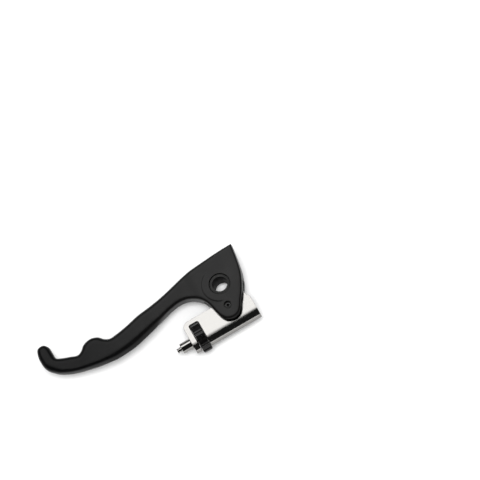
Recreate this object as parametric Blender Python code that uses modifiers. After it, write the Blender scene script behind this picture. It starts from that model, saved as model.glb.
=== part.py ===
"""Motorcycle clutch lever with a reach adjuster, as an assembly of separate pieces.

Frame: the origin is on the pivot axis at the middle of the head's thickness. +X points inboard along
the adjuster screw, +Y forward to the finger side and +Z up along the pivot axis.
Driving dimensions are in millimetres, and MM turns them into metres.
"""

import math

import bmesh
import bpy
from mathutils import Matrix, Vector

MM = 0.001
OBJECT_NAME = "clutch_lever"
GAP = 0.3                      # clearance between touching pieces
TURN_STEPS = 32                # facets around a turned piece
OVERCUT = 2.0                  # how far a cutter runs past the face it cuts

# Lever blade and head. A station is (x, value), and values are eased from one station to the next.
HEAD_HALF = 7.0                # half the head's thickness
EDGE_ROUND = 1.8               # rounding of the lever's edges
OUTLINE_STEP = 3.4             # length of a facet along the outline
HALF_THICKNESS = [(-160.0, 4.9), (-132.0, 5.0), (-110.0, 5.7), (-62.0, 5.9), (-35.0, 5.7), (-25.0, 5.9),
                  (-14.0, 7.0), (40.0, 7.0)]
BACK_CROWN = [(-160.0, 0.0), (-134.0, 0.2), (-112.0, 1.2), (-94.0, 2.5), (-80.0, 3.0), (-66.0, 2.5),
              (-46.0, 0.0), (40.0, 0.0)]      # how far the blade's back bulges between its edges
MIDDLE_LINE = [(-134.0, 5.0), (-110.0, 4.0), (-94.0, 0.0), (-74.0, 3.0), (-46.0, 9.0)]
THICKNESS_CUTS = (*range(-146, -16, 10), -14)   # the head is flat beyond the last one
CROWN_CUTS = (-5.2, -3.0, 0.0, 3.0, 5.2)   # levels in the head's thickness where the back is cut to bulge
CROWN_POWER = 1.3              # 2 would be a parabola across the back, and 1 two straight slopes

# Finger side from the head's sharp front corner to the hook's end, then the handlebar side back.
FINGER_SIDE = [(23.2, 24.6), (10.0, 24.35), (-4.0, 23.45), (-14.0, 22.7), (-22.0, 21.55), (-32.0, 19.2),
               (-44.0, 16.2), (-56.0, 14.1), (-68.0, 12.55), (-80.0, 9.7), (-90.0, 8.0), (-96.0, 7.7),
               (-99.6, 9.7), (-103.2, 13.5), (-108.0, 15.5), (-112.6, 15.25), (-116.6, 13.7),
               (-120.0, 10.7), (-123.8, 9.15), (-130.0, 11.4), (-136.0, 13.8), (-139.7, 16.1),
               (-140.2, 21.0), (-140.7, 27.0), (-143.9, 30.8)]
BAR_SIDE = [(-149.0, 30.2), (-151.2, 26.0), (-151.9, 20.0), (-150.8, 12.3), (-145.4, 5.6), (-138.0, 0.9),
            (-130.0, -2.3), (-120.0, -4.6), (-109.0, -6.6), (-98.0, -7.2), (-86.0, -6.3), (-74.0, -4.1),
            (-62.0, -1.4), (-52.0, 0.7), (-43.0, 3.0), (-35.0, 4.2), (-28.0, 3.1), (-22.5, 0.1),
            (-18.4, -4.0), (-15.9, -8.4), (-14.3, -13.5), (-13.2, -18.6), (-11.5, -24.0), (-8.4, -28.2),
            (-3.0, -30.0), (2.2, -28.6), (5.6, -25.0), (8.2, -20.6), (11.2, -16.2), (14.4, -10.8),
            (17.3, -4.6), (19.3, 1.0), (21.3, 11.0), (23.2, 24.6)]

# Pivot through the head.
BORE_R = 6.0                   # the pivot bolt's bore in the sleeve
SLEEVE_R = 7.0
SLEEVE_FLANGE_R = 9.0
SLEEVE_FLANGE = 0.5
HEAD_BORE_R = SLEEVE_R + GAP
RECESS_R = 8.3
RECESS_DEPTH = 2.8
SEAL_THICKNESS = 0.6
SEAL_DROP = 0.9                # how far the seals lie below the head's faces
CIRCLIP_R = 8.0
CIRCLIP_THICKNESS = 0.5
CIRCLIP_BOTTOM = HEAD_HALF - RECESS_DEPTH + GAP
GROOVE_R = 6.6
LOWER_EAR_R = 18.0             # round lower ear under the bracket's top flange
LOWER_EAR_BOTTOM = -HEAD_HALF + 0.5
WASHER_R = 11.5
WASHER_THICKNESS = 0.4

# Slot in the head for the bracket's top flange.
SLOT_BOTTOM = -1.0
SLOT_TOP = 2.5
SLOT_R = 13.6
SLOT_MOUTH = [(-SLOT_R, -4.0), (-30.0, -8.0), (-30.0, -44.0), (30.0, -44.0), (30.0, -8.0), (SLOT_R, -4.0)]
SLOT_LAP = 0.5                 # how far the lower ear and lobe run up into the slot before it is cut

# Bent bracket: two flanges joined by a half-round bend along the handlebar side.
SHEET = 1.5
FLANGE_TOP = 1.5
BEND_OUTER_R = 6.0
BEND_Y = -31.0
AXIS_Z = FLANGE_TOP - BEND_OUTER_R
BEND_INNER_R = BEND_OUTER_R - SHEET
FLANGE_BOTTOM = FLANGE_TOP - 2 * BEND_OUTER_R
BRACKET_LEFT = -42.0
BRACKET_RIGHT = 16.0
BRACKET_FRONT = -12.0          # front edge of the channel
PIVOT_EAR_R = 12.0
LUG_CORNER_R = 5.0
BLOCK_HALF = BEND_INNER_R - GAP   # half height of whatever fits between the flanges

# Adjuster screw and wheel, on one axis along X.
SCREW_Y = -27.3
SHANK_R = 4.2                  # polished head outboard of the bracket
SHANK_LEFT = -51.0
SHANK_RIGHT = BRACKET_LEFT - 0.1
JOURNAL_R = 2.9                # runs in both bushes and carries the wheel
JOURNAL_RIGHT = -22.0
TIP_R = 1.95
TIP_LEFT = -54.8
THREAD_R = 2.0
THREAD_RIGHT = 3.6
WHEEL_R = 11.7
WHEEL_LEFT = -37.0
WHEEL_RIGHT = -29.5
WHEEL_RIBS = 13
WHEEL_TURN = -10.4             # degrees from the finger side to the middle of the first rib
RIB_DEPTH = 0.9
GRUB_R = 1.5
GRUB_HEX_R = 0.75
THRUST_R = 4.1                 # thrust washers between the wheel and both bushes
THRUST_THICKNESS = 0.6
WINDOW_LEFT = -37.65
WINDOW_RIGHT = -29.1
WINDOW_FRONT = -15.6
WINDOW_CORNER_R = 1.5

# Bushes that carry the screw, and the block that pushes on the master cylinder.
OUTBOARD_FRONT = -19.4
OUTBOARD_LEFT = BRACKET_LEFT + GAP
OUTBOARD_RIGHT = WHEEL_LEFT - THRUST_THICKNESS - 2 * GAP
INBOARD_FRONT = -17.4
INBOARD_LEFT = WHEEL_RIGHT + THRUST_THICKNESS + 2 * GAP
INBOARD_RIGHT = JOURNAL_RIGHT + 0.4
BUSH_GAP = 0.2
PUSH_LEFT = 11.0               # the push block clears the lever's lobe through the whole swing
PUSH_RIGHT = BRACKET_RIGHT - 0.2
PUSH_FRONT = -22.5

# Stop pin and the swivelling nut that the screw turns in.
PIN_X = -2.6
PIN_Y = -18.6
PIN_R = 2.2
PIN_RECESS_R = 3.0
PIN_RECESS_DEPTH = 1.8
PIN_TOP = HEAD_HALF - PIN_RECESS_DEPTH + 0.3
PIN_BOTTOM = -HEAD_HALF + 0.4
HEX_R = 1.45
HEX_DEPTH = 2.4
NUT_X = -3.0
NUT_R = 4.0
LOBE_R = 5.6
LOBE_BOTTOM = -7.9             # the nut's lobe runs down between the flanges
LOBE_ROOT = [(9.0, -13.4), (-13.0, -13.4)]
NUT_SHORTER = 0.6              # how far the nut's top stays below the upper flange
NUT_HOLE_TOP = SLOT_TOP - 0.7
SCREW_WAY = (3.2, 2.4)         # half width and half height of the screw's way through the lobe
SCREW_WAY_R = 1.2
SWING = math.radians(4.2)      # how far the bracket turns each way on the lever
SWING_SPARE = math.radians(0.6)

# Click stop: a ball and spring in the inboard bush.
BALL_R = 1.25
BALL_Y = -20.2
POCKET_R = 1.6
POCKET_END = INBOARD_LEFT + 4.6
DETENT_COIL_R = 0.95
DETENT_WIRE_R = 0.2
BACKLASH_COIL_R = 2.95
BACKLASH_WIRE_R = 0.4
BACKLASH_RIGHT = -11.0
COIL_TURNS = 5

# Countersunk screws up through the lower flange, one into each bush and one into the push block.
FIXING_R = 0.8
FIXING_HEAD_R = 1.6
FIXING_LENGTH = 3.6
FIXINGS = {"outboard_bush_screw": (-40.0, -21.6), "inboard_bush_screw": (-24.6, -21.4),
           "push_block_screw": (13.4, -25.4)}


def clear_scene():
    for item in list(bpy.data.objects):
        bpy.data.objects.remove(item, do_unlink=True)


def new_collection(name):
    collection = bpy.data.collections.new(name)
    bpy.context.scene.collection.children.link(collection)
    return collection


def make_material(name, colour, roughness, metallic):
    material = bpy.data.materials.new(name)
    material.use_nodes = True
    shader = material.node_tree.nodes["Principled BSDF"]
    shader.inputs["Base Color"].default_value = (*colour, 1.0)
    shader.inputs["Roughness"].default_value = roughness
    shader.inputs["Metallic"].default_value = metallic
    return material


def link(name, mesh, material, collection=None):
    """Puts a mesh in the scene as one named piece."""
    piece = bpy.data.objects.new(name, mesh)
    (collection or PARTS).objects.link(piece)
    if material:
        mesh.materials.clear()
        mesh.materials.append(material)
    return piece


def as_cutter(piece):
    piece.hide_render = True
    piece.display_type = "WIRE"
    for collection in list(piece.users_collection):
        collection.objects.unlink(piece)
    CUTTERS.objects.link(piece)
    return piece


def boolean(piece, other, operation="DIFFERENCE"):
    modifier = piece.modifiers.new(operation.lower(), "BOOLEAN")
    modifier.operation = operation
    modifier.solver = "EXACT"
    modifier.object = as_cutter(other)


def settle(piece):
    """Replaces a piece's mesh with its evaluated one, so the cutters can go."""
    graph = bpy.context.evaluated_depsgraph_get()
    graph.update()
    mesh = bpy.data.meshes.new_from_object(piece.evaluated_get(graph))
    piece.modifiers.clear()
    piece.data = mesh


def smooth_shading(piece, angle=35.0):
    piece.data.shade_smooth()
    piece.data.set_sharp_from_angle(angle=math.radians(angle))


# ---------------------------------------------------------------- outlines


def through(points, step):
    """Points along a centripetal Catmull-Rom curve through the given ones, about a step apart."""
    knots = [Vector(p) for p in points]
    first = 2 * knots[0] - knots[1]
    last = 2 * knots[-1] - knots[-2]
    knots = [first, *knots, last]
    path = []
    for a, b, c, d in zip(knots, knots[1:], knots[2:], knots[3:]):
        t1 = math.sqrt((b - a).length)
        t2 = t1 + math.sqrt((c - b).length)
        t3 = t2 + math.sqrt((d - c).length)
        count = max(2, round((c - b).length / step))
        for i in range(count):
            t = t1 + (t2 - t1) * i / count
            ab = a * (t1 - t) / t1 + b * t / t1
            bc = b * (t2 - t) / (t2 - t1) + c * (t - t1) / (t2 - t1)
            cd = c * (t3 - t) / (t3 - t2) + d * (t - t2) / (t3 - t2)
            abc = ab * (t2 - t) / t2 + bc * t / t2
            bcd = bc * (t3 - t) / (t3 - t1) + cd * (t - t1) / (t3 - t1)
            path.append(abc * (t2 - t) / (t2 - t1) + bcd * (t - t1) / (t2 - t1))
    return [(p.x, p.y) for p in path]


def arc(cx, cy, radius, start, end, count):
    """Points on an arc, with its angles in degrees."""
    angles = [math.radians(start + (end - start) * i / count) for i in range(count + 1)]
    return [(cx + radius * math.cos(a), cy + radius * math.sin(a)) for a in angles]


def circle(cx, cy, radius, count=TURN_STEPS):
    return arc(cx, cy, radius, 0, 360, count)[:-1]


def rounded_box(x0, y0, x1, y1, radius, count=4):
    corners = [(x1 - radius, y1 - radius, 0), (x0 + radius, y1 - radius, 90),
               (x0 + radius, y0 + radius, 180), (x1 - radius, y0 + radius, 270)]
    return [p for x, y, a in corners for p in arc(x, y, radius, a, a + 90, count)]


# ---------------------------------------------------------------- solids


TO_X = Matrix(((0, 0, 1), (1, 0, 0), (0, 1, 0))).to_4x4()   # an outline in YZ, extruded along X


def prism(name, outline, low, high, material=None, along="Z", edge=0.0):
    """A flat outline extruded from low to high, with its edges rounded by edge."""
    curve = bpy.data.curves.new(name, "CURVE")
    curve.dimensions = "2D"
    curve.fill_mode = "BOTH"
    curve.extrude = ((high - low) / 2 - edge) * MM
    curve.bevel_depth = edge * MM
    curve.bevel_resolution = 1
    curve.offset = -edge * MM
    spline = curve.splines.new("POLY")
    spline.points.add(len(outline) - 1)
    for point, (x, y) in zip(spline.points, outline):
        point.co = (x * MM, y * MM, 0, 1)
    spline.use_cyclic_u = True
    guide = bpy.data.objects.new(name, curve)
    bpy.context.scene.collection.objects.link(guide)
    bpy.context.view_layer.update()
    graph = bpy.context.evaluated_depsgraph_get()
    mesh = bpy.data.meshes.new_from_object(guide.evaluated_get(graph))
    bpy.data.objects.remove(guide, do_unlink=True)
    shape = bmesh.new()
    shape.from_mesh(mesh)
    bmesh.ops.remove_doubles(shape, verts=shape.verts, dist=0.00001)
    bmesh.ops.transform(shape, matrix=Matrix.Translation((0, 0, (low + high) / 2 * MM)), verts=shape.verts)
    if along == "X":
        bmesh.ops.transform(shape, matrix=TO_X, verts=shape.verts)
    bmesh.ops.recalc_face_normals(shape, faces=shape.faces)
    shape.to_mesh(mesh)
    shape.free()
    mesh.name = name
    return link(name, mesh, material)


def turned(name, profile, material=None, at=(0.0, 0.0, 0.0), along="Z", ring=False, steps=TURN_STEPS):
    """A turned piece. The profile holds (radius, height) down the outer side, then up the inner one."""
    mesh = bpy.data.meshes.new(name)
    points = [(r * MM, 0, h * MM) for r, h in profile]
    edges = [(i, i + 1) for i in range(len(points) - 1)]
    if ring:
        edges.append((len(points) - 1, 0))
    mesh.from_pydata(points, edges, [])
    piece = link(name, mesh, material)
    piece.location = Vector(at) * MM
    if along == "X":
        piece.rotation_euler = (0, math.radians(90), 0)
    screw = piece.modifiers.new("turn", "SCREW")
    screw.axis = "Z"
    screw.steps = steps
    screw.render_steps = steps
    screw.use_merge_vertices = True
    screw.merge_threshold = 0.00001
    screw.use_smooth_shade = True
    bpy.context.view_layer.update()
    return piece


def rod(name, radius, low, high, material=None, at=(0.0, 0.0), along="Z", chamfer=0.0):
    """A round bar from low to high, at (x, y) along Z or at (y, z) along X."""
    profile = [(0, high), (radius - chamfer, high), (radius, high - chamfer),
               (radius, low + chamfer), (radius - chamfer, low), (0, low)]
    if not chamfer:
        profile = [(0, high), (radius, high), (radius, low), (0, low)]
    place = (at[0], at[1], 0) if along == "Z" else (0, at[0], at[1])
    return turned(name, profile, material, place, along)


def washer(name, inner, outer, low, high, material=None, at=(0.0, 0.0), along="Z"):
    profile = [(outer, high), (outer, low), (inner, low), (inner, high)]
    place = (at[0], at[1], 0) if along == "Z" else (0, at[0], at[1])
    return turned(name, profile, material, place, along, ring=True)


def coil(name, at, radius, wire, low, high, turns, material):
    """A compression spring along X around (y, z), from low to high."""
    per_turn = 12
    count = int(turns * per_turn)
    curve = bpy.data.curves.new(name, "CURVE")
    curve.dimensions = "3D"
    curve.bevel_depth = wire * MM
    curve.bevel_resolution = 2
    curve.use_fill_caps = True
    spline = curve.splines.new("POLY")
    spline.points.add(count)
    for i, point in enumerate(spline.points):
        angle = 2 * math.pi * i / per_turn
        x = low + wire + (high - low - 2 * wire) * i / count
        y = at[0] + radius * math.cos(angle)
        z = at[1] + radius * math.sin(angle)
        point.co = (x * MM, y * MM, z * MM, 1)
    piece = bpy.data.objects.new(name, curve)
    PARTS.objects.link(piece)
    curve.materials.append(material)
    return piece


# ---------------------------------------------------------------- lever body and its pivot


def station_value(stations, x):
    """The value at x, eased between the listed stations."""
    for (x0, v0), (x1, v1) in zip(stations, stations[1:]):
        if x <= x1:
            share = max(0.0, (x - x0) / (x1 - x0))
            return v0 + (v1 - v0) * share * share * (3 - 2 * share)
    return stations[-1][1]


def cut_across(shape, place, normal):
    everything = [*shape.verts, *shape.edges, *shape.faces]
    bmesh.ops.bisect_plane(shape, geom=everything, plane_co=Vector(place) * MM, plane_no=normal)


def form_the_blade(piece):
    """Thins the blade from head to hook, and crowns its back between the upper and lower edges."""
    shape = bmesh.new()
    shape.from_mesh(piece.data)
    for x in THICKNESS_CUTS:
        cut_across(shape, (x, 0, 0), (1, 0, 0))
    for z in CROWN_CUTS:
        cut_across(shape, (0, 0, z), (0, 0, 1))
    for vertex in shape.verts:
        x, y, z = vertex.co / MM
        if y < station_value(MIDDLE_LINE, x):
            level = min(1.0, abs(z) / HEAD_HALF)
            vertex.co.y -= station_value(BACK_CROWN, x) * (1 - level ** CROWN_POWER) * MM
        vertex.co.z *= station_value(HALF_THICKNESS, x) / HEAD_HALF
    bmesh.ops.triangulate(shape, faces=shape.faces)
    shape.to_mesh(piece.data)
    shape.free()


def lower_lobe_outline():
    """The lobe that holds the swivelling nut, below the round lower ear."""
    return [*arc(NUT_X, SCREW_Y, LOBE_R, 180, 360, 12), *LOBE_ROOT]


def slot_outline():
    """The head's slot: round in front of the pivot and open to the handlebar side."""
    return [*arc(0, 0, SLOT_R, 0, 180, 20), *SLOT_MOUTH]


def make_lever_body(material):
    outline = through(FINGER_SIDE + BAR_SIDE, OUTLINE_STEP)
    body = prism("lever_body", outline, -HEAD_HALF, HEAD_HALF, material, edge=EDGE_ROUND)
    ear = prism("lower_ear", circle(0, 0, LOWER_EAR_R, 40), LOWER_EAR_BOTTOM, SLOT_BOTTOM + SLOT_LAP)
    boolean(body, ear, "UNION")
    lobe = prism("lower_lobe", lower_lobe_outline(), LOBE_BOTTOM, SLOT_BOTTOM + SLOT_LAP)
    boolean(body, lobe, "UNION")
    boolean(body, prism("slot", slot_outline(), SLOT_BOTTOM, SLOT_TOP))
    deep = HEAD_HALF + OVERCUT
    floor = HEAD_HALF - RECESS_DEPTH
    boolean(body, rod("upper_recess", RECESS_R, floor, deep))
    boolean(body, rod("lower_recess", RECESS_R, -deep, -floor))
    boolean(body, rod("pivot_hole", HEAD_BORE_R, -deep, deep))
    boolean(body, rod("pin_hole", PIN_R + GAP, -deep, deep, at=(PIN_X, PIN_Y)))
    boolean(body, rod("pin_recess", PIN_RECESS_R, HEAD_HALF - PIN_RECESS_DEPTH, deep, at=(PIN_X, PIN_Y)))
    boolean(body, rod("nut_hole", NUT_R + GAP, -deep, NUT_HOLE_TOP, at=(NUT_X, SCREW_Y)))
    wide, high = SCREW_WAY
    screw_way = rounded_box(SCREW_Y - wide, AXIS_Z - high, SCREW_Y + wide, AXIS_Z + high, SCREW_WAY_R)
    boolean(body, prism("screw_way", screw_way, -16.0, 12.0, along="X"))
    settle(body)
    form_the_blade(body)
    smooth_shading(body)


def make_pivot(steel, rubber, plastic):
    """The flanged sleeve that the bracket turns on, with its seals and washers."""
    shoulder = FLANGE_BOTTOM - GAP
    clip = CIRCLIP_BOTTOM - GAP / 2
    clip_top = clip + CIRCLIP_THICKNESS + GAP
    sleeve_top = clip_top + GAP
    profile = [(SLEEVE_R, sleeve_top), (SLEEVE_R, clip_top), (GROOVE_R, clip_top), (GROOVE_R, clip),
               (SLEEVE_R, clip), (SLEEVE_R, shoulder), (SLEEVE_FLANGE_R, shoulder),
               (SLEEVE_FLANGE_R, shoulder - SLEEVE_FLANGE), (BORE_R, shoulder - SLEEVE_FLANGE),
               (BORE_R, sleeve_top)]
    turned("pivot_sleeve", profile, steel, ring=True)
    seal_top = HEAD_HALF - SEAL_DROP
    washer("upper_pivot_seal", BORE_R, RECESS_R - GAP, seal_top - SEAL_THICKNESS, seal_top, rubber)
    washer("lower_pivot_seal", HEAD_BORE_R, RECESS_R - GAP, -seal_top, SEAL_THICKNESS - seal_top, rubber)
    upper = FLANGE_TOP + GAP
    washer("upper_slot_washer", HEAD_BORE_R, WASHER_R, upper, upper + WASHER_THICKNESS, plastic)
    lower = FLANGE_TOP - SHEET - GAP
    washer("lower_slot_washer", HEAD_BORE_R, WASHER_R, lower - WASHER_THICKNESS, lower, plastic)
    washer("lower_thrust_washer", HEAD_BORE_R, WASHER_R,
           FLANGE_BOTTOM + SHEET + GAP, -HEAD_HALF - GAP, plastic)


def make_circlip(steel):
    """A snap ring in the sleeve's groove, open by a gap and hidden under the upper seal."""
    opening = 28.0             # degrees each side
    inner = GROOVE_R + GAP / 2
    ring = arc(0, 0, CIRCLIP_R, 270 + opening, 630 - opening, 28)
    ring += arc(0, 0, inner, 630 - opening, 270 + opening, 28)
    prism("sleeve_circlip", ring, CIRCLIP_BOTTOM, CIRCLIP_BOTTOM + CIRCLIP_THICKNESS, steel)


def make_stop_pin(steel):
    top = PIN_TOP
    pin = rod("stop_pin", PIN_R, PIN_BOTTOM, top, steel, at=(PIN_X, PIN_Y), chamfer=0.3)
    boolean(pin, prism("hex_socket", circle(PIN_X, PIN_Y, HEX_R, 6), top - HEX_DEPTH, top + OVERCUT))
    settle(pin)


# ---------------------------------------------------------------- bracket and what it holds


def bend_section():
    """The bracket's middle surface in YZ: top flange, half-round bend, bottom flange."""
    radius = (BEND_OUTER_R + BEND_INNER_R) / 2
    return [(20.0, AXIS_Z + radius), *arc(BEND_Y, AXIS_Z, radius, 90, 270, 16), (20.0, AXIS_Z - radius)]


def bracket_outline():
    """Seen from above: the round ear at the pivot and the channel behind it."""
    ear = arc(0, 0, PIVOT_EAR_R, -25, 205, 26)
    lug = arc(BRACKET_LEFT + LUG_CORNER_R, BRACKET_FRONT - LUG_CORNER_R, LUG_CORNER_R, 90, 180, 6)
    right = arc(BRACKET_RIGHT - 3.5, BRACKET_FRONT - 8.5, 3.5, 0, 60, 5)
    return [*ear, (-14.0, BRACKET_FRONT), *lug, (BRACKET_LEFT, -45.0), (BRACKET_RIGHT, -45.0), *right]


def swept_slot(radius_of_pin, x, y, swing):
    """A slot around the pivot for a pin at (x, y) that swings each way."""
    reach = math.hypot(x, y)
    middle = math.degrees(math.atan2(y, x))
    half = math.degrees(swing)
    outer = arc(0, 0, reach + radius_of_pin, middle - half, middle + half, 4)
    inner = arc(0, 0, reach - radius_of_pin, middle + half, middle - half, 4)
    end = math.radians(middle + half)
    start = math.radians(middle - half)
    cap = arc(reach * math.cos(end), reach * math.sin(end), radius_of_pin,
              middle + half, middle + half + 180, 8)[1:-1]
    other = arc(reach * math.cos(start), reach * math.sin(start), radius_of_pin,
                middle - half + 180, middle - half + 360, 8)[1:-1]
    return [*outer, *cap, *inner, *other]


def make_bracket(steel):
    mesh = bpy.data.meshes.new("carrier_bracket")
    section = bend_section()
    ends = (BRACKET_LEFT - OVERCUT, BRACKET_RIGHT + OVERCUT)
    points = [(x * MM, y * MM, z * MM) for x in ends for y, z in section]
    count = len(section)
    faces = [(i, i + 1, i + 1 + count, i + count) for i in range(count - 1)]
    mesh.from_pydata(points, [], faces)
    bracket = link("carrier_bracket", mesh, steel)
    sheet = bracket.modifiers.new("sheet", "SOLIDIFY")
    sheet.thickness = SHEET * MM
    sheet.offset = 0.0
    sheet.use_even_offset = True
    settle(bracket)
    shape = bmesh.new()
    shape.from_mesh(bracket.data)
    bmesh.ops.recalc_face_normals(shape, faces=shape.faces)
    shape.to_mesh(bracket.data)
    shape.free()
    boolean(bracket, prism("blank", bracket_outline(), -20.0, 10.0), "INTERSECT")
    window = rounded_box(WINDOW_LEFT, -50.0, WINDOW_RIGHT, WINDOW_FRONT, WINDOW_CORNER_R)
    boolean(bracket, prism("wheel_window", window, -20.0, 10.0))
    boolean(bracket, rod("flange_holes", HEAD_BORE_R, -20.0, 10.0))
    pin_slot = swept_slot(PIN_R + GAP, PIN_X, PIN_Y, SWING + SWING_SPARE)
    boolean(bracket, prism("pin_slot", pin_slot, -2.0, 4.0))
    for x, y in FIXINGS.values():
        boolean(bracket, fixing("fixing_hole", x, y, GAP, None))
    settle(bracket)
    smooth_shading(bracket)


def block_section(front):
    """A block between the flanges, with a round back that fits the bend."""
    return [(front, AXIS_Z - BLOCK_HALF), (front, AXIS_Z + BLOCK_HALF),
            *arc(BEND_Y, AXIS_Z, BLOCK_HALF, 90, 270, 12)]


def fixing(name, x, y, gap, material):
    """A countersunk screw up through the lower flange, or the hole for it where a gap is given."""
    top = FLANGE_BOTTOM + FIXING_LENGTH + gap
    cone = FLANGE_BOTTOM + FIXING_HEAD_R - FIXING_R
    drop = OVERCUT if gap else -0.05
    mouth = FIXING_HEAD_R + gap + drop
    profile = [(0, top), (FIXING_R + gap, top), (FIXING_R + gap, cone), (mouth, FLANGE_BOTTOM - drop),
               (0, FLANGE_BOTTOM - drop)]
    return turned(name, profile, material, (x, y, 0), steps=20)


def make_blocks(plastic, black_steel):
    outboard = prism("outboard_screw_bush", block_section(OUTBOARD_FRONT), OUTBOARD_LEFT, OUTBOARD_RIGHT,
                     plastic, along="X")
    inboard = prism("inboard_screw_bush", block_section(INBOARD_FRONT), INBOARD_LEFT, INBOARD_RIGHT,
                    plastic, along="X")
    push = prism("push_block", block_section(PUSH_FRONT), PUSH_LEFT, PUSH_RIGHT, black_steel, along="X")
    for block in (outboard, inboard):
        boolean(block, rod("journal", JOURNAL_R + BUSH_GAP, -60.0, 0.0, at=(SCREW_Y, AXIS_Z), along="X"))
    boolean(inboard, rod("ball_pocket", POCKET_R, INBOARD_LEFT - OVERCUT, POCKET_END,
                         at=(BALL_Y, AXIS_Z), along="X"))
    for block, (x, y) in zip((outboard, inboard, push), FIXINGS.values()):
        boolean(block, fixing("fixing_hole", x, y, GAP, None))
        settle(block)


def make_click_stop(steel):
    mesh = bpy.data.meshes.new("detent_ball")
    shape = bmesh.new()
    bmesh.ops.create_uvsphere(shape, u_segments=16, v_segments=10, radius=BALL_R * MM)
    shape.to_mesh(mesh)
    shape.free()
    ball = link("detent_ball", mesh, steel)
    ball_x = WHEEL_RIGHT + GAP + BALL_R
    ball.location = (ball_x * MM, BALL_Y * MM, AXIS_Z * MM)
    ball.data.shade_smooth()
    coil("detent_spring", (BALL_Y, AXIS_Z), DETENT_COIL_R, DETENT_WIRE_R, ball_x + BALL_R + GAP / 3,
         POCKET_END - GAP / 3, COIL_TURNS, steel)


# ---------------------------------------------------------------- adjuster


def wheel_outline():
    """Ribs and grooves around the wheel's rim."""
    pitch = 2 * math.pi / WHEEL_RIBS
    outline = []
    for i in range(WHEEL_RIBS):
        for share, radius in ((-0.36, WHEEL_R), (-0.12, WHEEL_R), (0.12, WHEEL_R), (0.36, WHEEL_R),
                              (0.43, WHEEL_R - RIB_DEPTH), (0.57, WHEEL_R - RIB_DEPTH)):
            angle = math.radians(WHEEL_TURN) + (i + share) * pitch
            outline.append((SCREW_Y + radius * math.cos(angle), AXIS_Z + radius * math.sin(angle)))
    return outline


def make_wheel(black, steel):
    wheel = prism("adjuster_wheel", wheel_outline(), WHEEL_LEFT, WHEEL_RIGHT, black, along="X")
    boolean(wheel, rod("wheel_bore", JOURNAL_R + GAP, -60.0, 0.0, at=(SCREW_Y, AXIS_Z), along="X"))
    middle = (WHEEL_LEFT + WHEEL_RIGHT) / 2
    boolean(wheel, rod("grub_hole", GRUB_R + GAP, AXIS_Z - WHEEL_R - OVERCUT, AXIS_Z - 1.0,
                       at=(middle, SCREW_Y)))
    settle(wheel)
    grub_bottom = AXIS_Z - WHEEL_R + 2.3
    grub = rod("wheel_grub_screw", GRUB_R, grub_bottom, AXIS_Z - JOURNAL_R - GAP, steel,
               at=(middle, SCREW_Y), chamfer=0.3)
    socket = circle(middle, SCREW_Y, GRUB_HEX_R, 6)
    boolean(grub, prism("grub_socket", socket, grub_bottom - OVERCUT, grub_bottom + 1.8))
    settle(grub)
    for name, left in (("outboard_thrust_washer", WHEEL_LEFT - GAP - THRUST_THICKNESS),
                       ("inboard_thrust_washer", WHEEL_RIGHT + GAP)):
        washer(name, JOURNAL_R + GAP, THRUST_R, left, left + THRUST_THICKNESS, steel,
               at=(SCREW_Y, AXIS_Z), along="X")


def make_screw(polished):
    """Tip pin, polished head, journal through both bushes and the wheel, and a thinner threaded end."""
    chamfer = 0.4
    profile = [(0, THREAD_RIGHT), (THREAD_R - chamfer, THREAD_RIGHT), (THREAD_R, THREAD_RIGHT - chamfer),
               (THREAD_R, JOURNAL_RIGHT), (JOURNAL_R, JOURNAL_RIGHT), (JOURNAL_R, SHANK_RIGHT),
               (SHANK_R, SHANK_RIGHT), (SHANK_R, SHANK_LEFT + chamfer),
               (SHANK_R - chamfer, SHANK_LEFT), (TIP_R, SHANK_LEFT), (TIP_R, TIP_LEFT + chamfer),
               (TIP_R - chamfer, TIP_LEFT), (0, TIP_LEFT)]
    turned("adjuster_screw", profile, polished, (0, SCREW_Y, AXIS_Z), along="X")


def make_nut(brass, steel):
    """The swivelling nut in the lever's lobe, and the spring that takes up its slack on the screw."""
    nut = rod("trunnion_nut", NUT_R, AXIS_Z - BLOCK_HALF, AXIS_Z + BLOCK_HALF - NUT_SHORTER, brass,
              at=(NUT_X, SCREW_Y), chamfer=0.4)
    boolean(nut, rod("nut_thread", THREAD_R + GAP, -20.0, 10.0, at=(SCREW_Y, AXIS_Z), along="X"))
    settle(nut)
    coil("backlash_spring", (SCREW_Y, AXIS_Z), BACKLASH_COIL_R, BACKLASH_WIRE_R,
         INBOARD_RIGHT, BACKLASH_RIGHT, COIL_TURNS, steel)


def main():
    black = make_material("black_anodised", (0.018, 0.018, 0.019), 0.42, 0.6)
    polished = make_material("polished_stainless", (0.78, 0.76, 0.73), 0.12, 1.0)
    steel = make_material("dark_steel", (0.10, 0.10, 0.10), 0.35, 1.0)
    rubber = make_material("black_rubber", (0.012, 0.012, 0.012), 0.6, 0.0)
    plastic = make_material("black_acetal", (0.02, 0.02, 0.02), 0.5, 0.0)
    brass = make_material("brass", (0.62, 0.45, 0.20), 0.3, 1.0)
    make_lever_body(black)
    make_pivot(steel, rubber, plastic)
    make_circlip(steel)
    make_stop_pin(steel)
    make_bracket(polished)
    make_blocks(plastic, steel)
    for name, (x, y) in FIXINGS.items():
        fixing(name, x, y, 0.0, steel)
    make_click_stop(steel)
    make_wheel(black, steel)
    make_screw(polished)
    make_nut(brass, steel)


clear_scene()
PARTS = new_collection(OBJECT_NAME)
CUTTERS = new_collection("cutters")
main()
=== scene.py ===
"""Looks for the clutch lever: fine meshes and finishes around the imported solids, on a plain white table.

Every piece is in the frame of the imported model. Driving dimensions are in millimetres, and MM turns them
into metres. The origin is on the pivot axis, +X runs inboard along the adjuster screw, +Y points to the
finger side and +Z up along the pivot axis.
"""

import math

import bmesh
import bpy
import numpy as np
from mathutils import Matrix, Vector
from mathutils.geometry import delaunay_2d_cdt


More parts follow.
